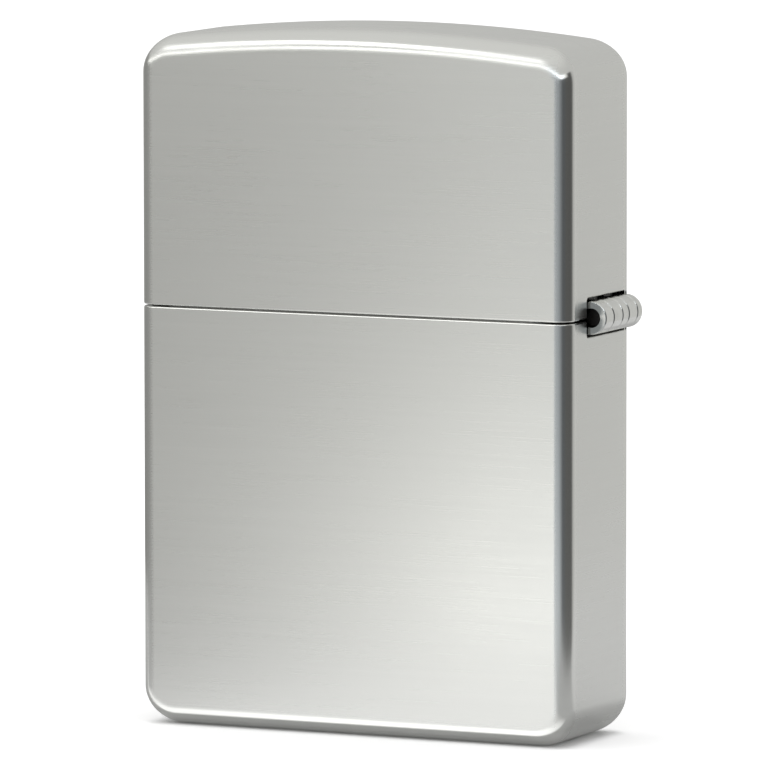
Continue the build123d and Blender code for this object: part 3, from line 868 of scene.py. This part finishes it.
class LIGHTER_OT_hole_rims(bpy.types.Operator):
    """Make the pressed rims round the windscreen's air holes"""

    bl_idname = "lighter.hole_rims"
    bl_label = "Air hole rims"

    def execute(self, context):
        works = context.scene.lighter_works
        rule = Rule("hole_rims_rule", {
            "Radius": HOLE_RADIUS, "Rim": works.rim, "Column pitch": HOLE_COLUMN_PITCH,
            "Row pitch": HOLE_ROW_PITCH, "Centre X": SCREEN_X,
            "Centre Z": tank_box[1].z + HOLE_HEIGHT, "Face": screen_box[1].y,
        })
        board = rule.board
        # Three columns of three on both sides, less the top one of each middle column.
        points = board.wire("GeometryNodePoints", None, {"Count": 18})
        index = board.wire("GeometryNodeInputIndex")
        side = (index / 9.0 + NUDGE).floor()
        hole = index % 9.0
        column = (hole / 3.0 + NUDGE).floor()
        row = hole % 3.0
        middle = 1 - abs(column - 1.0)
        place = board.join(
            rule["Centre X"] + (column - 1.0) * rule["Column pitch"],
            (side * 2.0 - 1.0) * rule["Face"],
            rule["Centre Z"] + (row - 1.0 + middle * 0.5) * rule["Row pitch"],
        )
        placed = board.place(points, place)
        surplus = middle * (row - 1.0).clamp()
        kept = board.wire("GeometryNodeDeleteGeometry", {"domain": "POINT"}, {
            "Geometry": placed, "Selection": surplus,
        })
        thick = rule["Rim"] * 0.6
        ring = board.wire("GeometryNodeCurveToMesh", None, {
            "Curve": board.circle(40, rule["Radius"] + thick),
            "Profile Curve": board.circle(8, thick),
        })
        rings = board.wire("GeometryNodeInstanceOnPoints", None, {
            "Points": kept, "Instance": ring, "Rotation": (pi / 2, 0.0, 0.0),
            "Scale": (1.0, 1.0, 0.7),
        })
        rule.end(rings, finishes["insert_steel"])
        rims = rule.run("air_hole_rims")
        smooth(rims, 60)
        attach(rims, "case")
        return {"FINISHED"}


# ---- Wick --------------------------------------------------------------------------------------
WICK_RADIUS = 1.5 * MM
WICK_LEFT, WICK_RIGHT = -6.4 * MM, 14.3 * MM  # the ends of its runs
WICK_LAYER = 6.0 * MM  # between its runs
WICK_DEPTH = 7.75 * MM  # of its top run, below the tank's top
WICK_RUNS = 4
WICK_STEP = 0.45 * MM


def wick_route():
    """The wick's corners: down through the windscreen, then to and fro through the packing."""
    end, height = SCREEN_X, tank_box[1].z - WICK_DEPTH
    points = [(end, wick_box[1].z)]
    for run in range(WICK_RUNS):
        points.append((end, height - run * WICK_LAYER))
        end = WICK_LEFT if run % 2 else WICK_RIGHT
        points.append((end, height - run * WICK_LAYER))
    return [Vector((a, 0.0, b)) for a, b in points]


class LIGHTER_OT_wick(bpy.types.Operator):
    """Make the braided cotton wick"""

    bl_idname = "lighter.wick"
    bl_label = "Wick"

    def execute(self, context):
        works = context.scene.lighter_works
        route = bpy.data.curves.new("wick_route", "CURVE")
        route.dimensions = "3D"
        line = route.splines.new("POLY")
        corners = wick_route()
        line.points.add(len(corners) - 1)
        for point, corner in zip(line.points, corners):
            point.co = (*corner, 1.0)
        rule = Rule("wick_rule", {
            "Radius": WICK_RADIUS, "Strand": works.strand, "Strands": works.strands,
            "Lay": works.lay, "Bend": works.wick_bend, "Step": WICK_STEP,
        })
        board = rule.board
        bent = board.wire("GeometryNodeFilletCurve", {"mode": "POLY"}, {
            "Curve": rule["Geometry"], "Count": 8, "Radius": rule["Bend"],
        })
        even = board.wire("GeometryNodeResampleCurve", {"mode": "LENGTH"}, {
            "Curve": bent, "Length": rule["Step"],
        })
        inner = rule["Radius"] - rule["Strand"]
        yarns = board.wire("GeometryNodeInstanceOnPoints", None, {
            "Points": board.circle(rule["Strands"], inner),
            "Instance": board.circle(6, rule["Strand"]),
        })
        bundle = board.wire("GeometryNodeRealizeInstances", None, {0: yarns})
        far = board.wire("GeometryNodeSplineParameter", output="Length")

        def sweep(curve, section):
            return board.wire("GeometryNodeCurveToMesh", None, {
                "Curve": curve, "Profile Curve": section, "Fill Caps": True,
            })

        def twisted(way):
            values = {"Curve": even, "Tilt": far / rule["Lay"] * (way * 2 * pi)}
            return sweep(board.wire("GeometryNodeSetCurveTilt", None, values), bundle)

        core = sweep(even, board.circle(16, inner))
        rule.end(board.gather(twisted(-1.0), twisted(1.0), core), finishes["wick_cotton"])
        wick = rule.run("braided_wick", route)
        smooth(wick, 60)
        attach(wick, "case")
        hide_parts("wick")
        return {"FINISHED"}


# ---- Packing and felt --------------------------------------------------------------------------
WADS = 6
WAD_VOXEL, WAD_LUMP = 0.32 * MM, 1.3 * MM
FELT_VOXEL, FELT_LUMP, FELT_DEPTH = 0.2 * MM, 0.6 * MM, 0.12 * MM


def tufted(name, node, voxel, depth, lump, material):
    """A soft piece in the space of a CAD node, its surface drawn in unevenly, lump by lump."""
    piece = copy_of_nodes(name, node)
    remesh = piece.modifiers.new("fine", "REMESH")
    remesh.mode = "VOXEL"
    remesh.voxel_size = voxel
    piece = settle(piece)
    rule = Rule(name + "_rule", {"Depth": depth, "Scale": 1 / lump, "Seed": 7.0})
    board = rule.board
    place = board.wire("GeometryNodeInputPosition")
    normal = board.wire("GeometryNodeInputNormal")
    shifted = board.vector("ADD", place, board.join(rule["Seed"], 0.0, 0.0))
    lumps = board.noise(shifted, rule["Scale"], 3.0, 0.6)
    drawn = board.vector("MULTIPLY", normal, board.join(*[-(lumps * rule["Depth"])] * 3))
    moved = board.wire("GeometryNodeSetPosition", None, {
        "Geometry": rule["Geometry"], "Offset": drawn,
    })
    rule.end(moved, material)
    mesh = piece.data
    bpy.data.objects.remove(piece)
    made = rule.run(name, mesh)
    made.data.shade_smooth()
    return made


class LIGHTER_OT_soft(bpy.types.Operator):
    """Make the cotton packing and the felt pad"""

    bl_idname = "lighter.soft"
    bl_label = "Packing and felt"

    def execute(self, context):
        works = context.scene.lighter_works
        for number in range(1, WADS + 1):
            node = f"packing_ball_{number}"
            wad = tufted(f"cotton_wad_{number}", node, WAD_VOXEL, works.tuft * 2, WAD_LUMP,
                         finishes["packing_cotton"])
            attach(wad, "case")
            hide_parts(node)
        felt = tufted("felt_sheet", "felt_pad", FELT_VOXEL, FELT_DEPTH, FELT_LUMP,
                      finishes["felt"])
        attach(felt, "case")
        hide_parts("felt_pad")
        return {"FINISHED"}


# ---- Studio ------------------------------------------------------------------------------------
SKY_LEVEL = 0.5  # of the world in reflections
SKY_LIFT = 0.15  # and how much is added to it straight above
FLOOR_REACH = 3.0
FLOOR_DROP = 0.02 * MM
FLOOR_CORNERS = 64
LAMP_PLACE = (-0.2, -0.25, 0.4)
LAMP_AIM = (0, 0, 55 * MM)
LAMP_SIZE = (0.3, 0.12)
LAMP_ENERGY = 0.14
CAMERA_CENTRE = (0, 0, 28.6 * MM)  # the point that the camera is set round


def direction(azimuth, elevation):
    """The unit vector at an azimuth from -Y towards +X, and at an elevation."""
    level = cos(elevation)
    return Vector((sin(azimuth) * level, -cos(azimuth) * level, sin(elevation)))


def rays(board, *kinds):
    """1 for rays of these kinds, as the Light Path node names them."""
    path = board.node("ShaderNodeLightPath")
    total = Wire(board, path.outputs[f"Is {kinds[0]} Ray"])
    for kind in kinds[1:]:
        total = total + Wire(board, path.outputs[f"Is {kind} Ray"])
    return total


def studio_world():
    """White to the camera and as light on matt surfaces; grey in reflections, paler overhead."""
    world = bpy.data.worlds.new("studio")
    world.use_nodes = True
    board = Board(world.node_tree)
    way = board.wire("ShaderNodeTexCoord", output="Generated")
    overhead = tuple(direction(radians(-90), radians(80)))
    near = board.vector("DOT_PRODUCT", way, overhead, "Value")
    level = SKY_LEVEL + SKY_LIFT * board.step(near, cos(radians(60)), cos(radians(10)))
    tone = board.join(level, level, level * 0.975)
    sky = board.wire("ShaderNodeBackground", None, {"Color": tone, "Strength": 1.0})
    white = board.wire("ShaderNodeBackground", None, {"Color": WHITE, "Strength": 1.0})
    glossy = rays(board, "Glossy", "Transmission")
    plain = (rays(board, "Camera", "Diffuse") + glossy * 0.1).clamp()
    mixed = board.wire("ShaderNodeMixShader", None, {0: plain, 1: sky, 2: white})
    board.node("ShaderNodeOutputWorld", None, {"Surface": mixed})
    return world


def floor_material(colour):
    """Pale to the camera, with painted contact shadow round the foot. In reflections darker, but
    with painted light glowing in front of the object and beside it.
    """
    material, board = start_material("studio_floor")
    seen = rays(board, "Camera")
    reflected = rays(board, "Glossy", "Transmission").clamp()
    place = board.wire("ShaderNodeTexCoord", output="Object")
    x, y, _ = board.split(place)
    side, front = case_box[1].x, case_box[1].y

    # Painted contact shadow: the camera's glow fades out from 0.6 mm outside the foot to 1.5 mm
    # under it.
    clear_x = board.step(abs(x), side - 1.5 * MM, side + 0.6 * MM)
    clear_y = board.step(abs(y), front - 1.5 * MM, front + 0.6 * MM)
    clear = (clear_x + clear_y).clamp()  # 0 under the object
    far = board.step(abs(y), 40 * MM, 56 * MM)
    # Painted light: patches that glow only in reflections, in front of the object and beside its
    # side, for the bright lines along the foot and the side face.
    before = board.step(-y, front, front + 0.5 * MM) * (1 - board.step(x, 15 * MM, 24 * MM))
    close = 1 - board.step(-y, front + 1.5 * MM, front + 4 * MM)
    painted_apron_glow = before * (board.step(x, -45 * MM, -2 * MM) * 0.48 + close * 0.45) * (1 - far)
    painted_side_glow = board.step(x, side, side + 4 * MM) * board.step(y, 6 * MM, 20 * MM)
    # The camera sees the even lift away from the foot; reflections see the painted glow patches
    # and a faint painted glow under the foot.
    glow = seen * 0.28 * clear + reflected * (painted_apron_glow + painted_side_glow * 0.17 + (1 - clear) * 0.1)

    pale = board.mix(board.noise(place, 30.0) * 0.2, colour, WHITE)
    tone = board.mix(reflected * 0.5, pale, BLACK)
    matt = board.wire("ShaderNodeBsdfDiffuse", None, {"Color": tone})
    glowing = {"Color": board.join(glow, glow, glow), "Strength": 1.0}
    lift = board.wire("ShaderNodeEmission", None, glowing)
    top = board.wire("ShaderNodeAddShader", None, {0: matt, 1: lift})
    below = board.wire("ShaderNodeNewGeometry", output="Backfacing")
    open_air = board.wire("ShaderNodeBsdfTransparent")
    end_material(board, board.wire("ShaderNodeMixShader", None, {0: below, 1: top, 2: open_air}))
    return material


def curtain_material():
    """Studio curtain that is as bright as its own glow attribute says."""
    material, board = start_material("studio_curtain")
    level = board.wire("ShaderNodeAttribute", {"attribute_name": "glow"}, output="Fac")
    x, y, _ = board.split(board.wire("ShaderNodeTexCoord", output="Object"))
    cool = board.step(x, 3 * MM, 8 * MM) * board.step(-y, 20 * MM, 40 * MM)
    tone = board.join(level * (1 - cool * 0.06), level, level * (0.975 + cool * 0.08))
    end_material(board, board.wire("ShaderNodeEmission", None, {"Color": tone, "Strength": 1.0}))
    return material


# The curtain's folds, clockwise from the left: X and Y in mm, and its glow low down and high up.
CURTAIN = (
    (-100, 60, 0.22, 0.34), (-110, 0, 0.26, 0.26), (-90, -45, 0.28, 0.3), (-60, -56, 0.36, 0.4),
    (-43, -56, 0.46, 0.42), (-24, -56, 0.85, 0.48), (-8, -56, 1.5, 0.6), (2, -56, 1.7, 0.7),
    (6, -58, 0.7, 0.42), (34, -62, 0.6, 0.3), (52, -62, 0.4, 0.2), (62, -50, 0.13, 0.1),
    (70, 0, 0.12, 0.09), (70, 16, 0.12, 0.1), (71, 38, 0.46, 0.46), (72, 66, 0.52, 0.52),
    (66, 100, 0.58, 0.58), (40, 125, 0.58, 0.58), (-20, 125, 0.3, 0.5), (-70, 115, 0.2, 0.5),
    (-100, 60, 0.22, 0.34),
)
CURTAIN_TOP = 85
CURTAIN_FRONT = -45  # its folds from here forwards have a bright hem along the top
CURTAIN_BACK = 110  # and those from here backwards keep their low glow up to the lid
HEM_GLOW = 2.0
HEM_HEIGHT = 12
# How the low glow passes into the high one: height in mm, share of the low glow.
FRONT_EASE = ((0, 1.0), (14, 0.4), (30, 0.1), (50, 0.0))
BACK_EASE = ((0, 1.0), (14, 1.0), (54, 1.0), (62, 0.0))


def sheet_of(name, corners, faces, material):
    mesh = bpy.data.meshes.new(name)
    mesh.from_pydata(corners, [], faces)
    mesh.materials.append(material)
    return link(bpy.data.objects.new(name, mesh))


def hang_curtain(material):
    """The low curtain that stands round the object, seen only in its reflections."""
    corners, glows, faces = [], [], []
    for x, y, low, high in CURTAIN:
        hem = HEM_GLOW if y <= CURTAIN_FRONT else high
        ease = BACK_EASE if y >= CURTAIN_BACK else FRONT_EASE
        hem_foot = CURTAIN_TOP - HEM_HEIGHT
        rows = [(height, high + part * (low - high)) for height, part in ease]
        rows += [(hem_foot - 1, high), (hem_foot, hem), (CURTAIN_TOP, hem)]
        for height, glow in rows:
            corners.append((x * MM, y * MM, height * MM))
            glows.append(glow)
    up = len(rows)
    for fold in range(len(CURTAIN) - 1):
        for row in range(up - 1):
            first = up * fold + row
            faces.append((first, first + up, first + up + 1, first + 1))
    hung = sheet_of("curtain", corners, faces, material)
    hung.data.attributes.new("glow", "FLOAT", "POINT").data.foreach_set("value", glows)
    hung.visible_camera = False
    hung.visible_diffuse = False
    hung.visible_shadow = False


def lay_floor(material):
    turns = [2 * pi * step / FLOOR_CORNERS for step in range(FLOOR_CORNERS)]
    corners = [(FLOOR_REACH * cos(a), FLOOR_REACH * sin(a), -FLOOR_DROP) for a in turns]
    floor = sheet_of("floor", corners, [tuple(range(FLOOR_CORNERS))], material)


def hang_lamp():
    """The soft lamp in front, above and to the left, that draws the lid's bright edge."""
    lamp = bpy.data.lights.new("overhead", "AREA")
    lamp.shape = "RECTANGLE"
    lamp.size, lamp.size_y = LAMP_SIZE
    lamp.energy = LAMP_ENERGY
    box = link(bpy.data.objects.new("overhead", lamp))
    box.location = LAMP_PLACE
    box.rotation_euler = (Vector(LAMP_AIM) - box.location).to_track_quat("-Z", "Y").to_euler()
    box.visible_camera = False


def set_camera(scene, studio):
    view = bpy.data.cameras.new("camera")
    view.sensor_width = 36.0
    view.lens = studio.lens
    view.clip_start, view.clip_end = 0.01, 20.0
    camera = link(bpy.data.objects.new("camera", view))
    away = direction(studio.azimuth, studio.elevation) * studio.distance
    place = Vector(CAMERA_CENTRE) + away
    sight = Vector((0, 0, studio.aim)) - place
    turn = sight.to_track_quat("-Z", "Y").to_matrix().to_4x4()
    roll = Matrix.Rotation(-studio.roll, 4, "Z")
    camera.matrix_world = Matrix.Translation(place) @ turn @ roll
    scene.camera = camera


class LIGHTER_OT_stage(bpy.types.Operator):
    """Make the floor, the curtain, the light and the camera"""

    bl_idname = "lighter.stage"
    bl_label = "Stage"

    def execute(self, context):
        studio = context.scene.lighter_studio
        context.scene.world = studio_world()
        context.scene.view_settings.view_transform = "Standard"
        lay_floor(floor_material((*studio.floor_tint, 1.0)))
        hang_curtain(curtain_material())
        hang_lamp()
        set_camera(context.scene, studio)
        return {"FINISHED"}


class LIGHTER_PT_panel(bpy.types.Panel):
    """Lists the makers of the lighter's pieces"""

    bl_idname = "LIGHTER_PT_panel"
    bl_label = "Lighter"
    bl_space_type = "VIEW_3D"
    bl_region_type = "UI"
    bl_category = "Lighter"

    def draw(self, context):
        for group in [getattr(context.scene, name) for name in GROUPS]:
            box = self.layout.box()
            for name in group.__annotations__:
                box.prop(group, name)
        for maker in MAKERS:
            self.layout.operator(maker.bl_idname)


GROUPS = {
    "lighter_looks": LighterLooks,
    "lighter_works": LighterWorks,
    "lighter_studio": LighterStudio,
}
MAKERS = (
    LIGHTER_OT_finishes,
    LIGHTER_OT_shells,
    LIGHTER_OT_wheel,
    LIGHTER_OT_hole_rims,
    LIGHTER_OT_wick,
    LIGHTER_OT_soft,
    LIGHTER_OT_stage,
)


def register():
    """Adds the settings, the operators and the panel."""
    for kind in (*GROUPS.values(), *MAKERS, LIGHTER_PT_panel):
        bpy.utils.register_class(kind)
    for name, group in GROUPS.items():
        setattr(bpy.types.Scene, name, bpy.props.PointerProperty(type=group))


def unregister():
    for name in GROUPS:
        delattr(bpy.types.Scene, name)
    for kind in (LIGHTER_PT_panel, *MAKERS[::-1], *GROUPS.values()):
        bpy.utils.unregister_class(kind)


def main():
    """Makes everything in order."""
    register()
    for maker in MAKERS:
        group, name = maker.bl_idname.split(".")
        getattr(getattr(bpy.ops, group), name)()


if __name__ == "__main__":
    main()
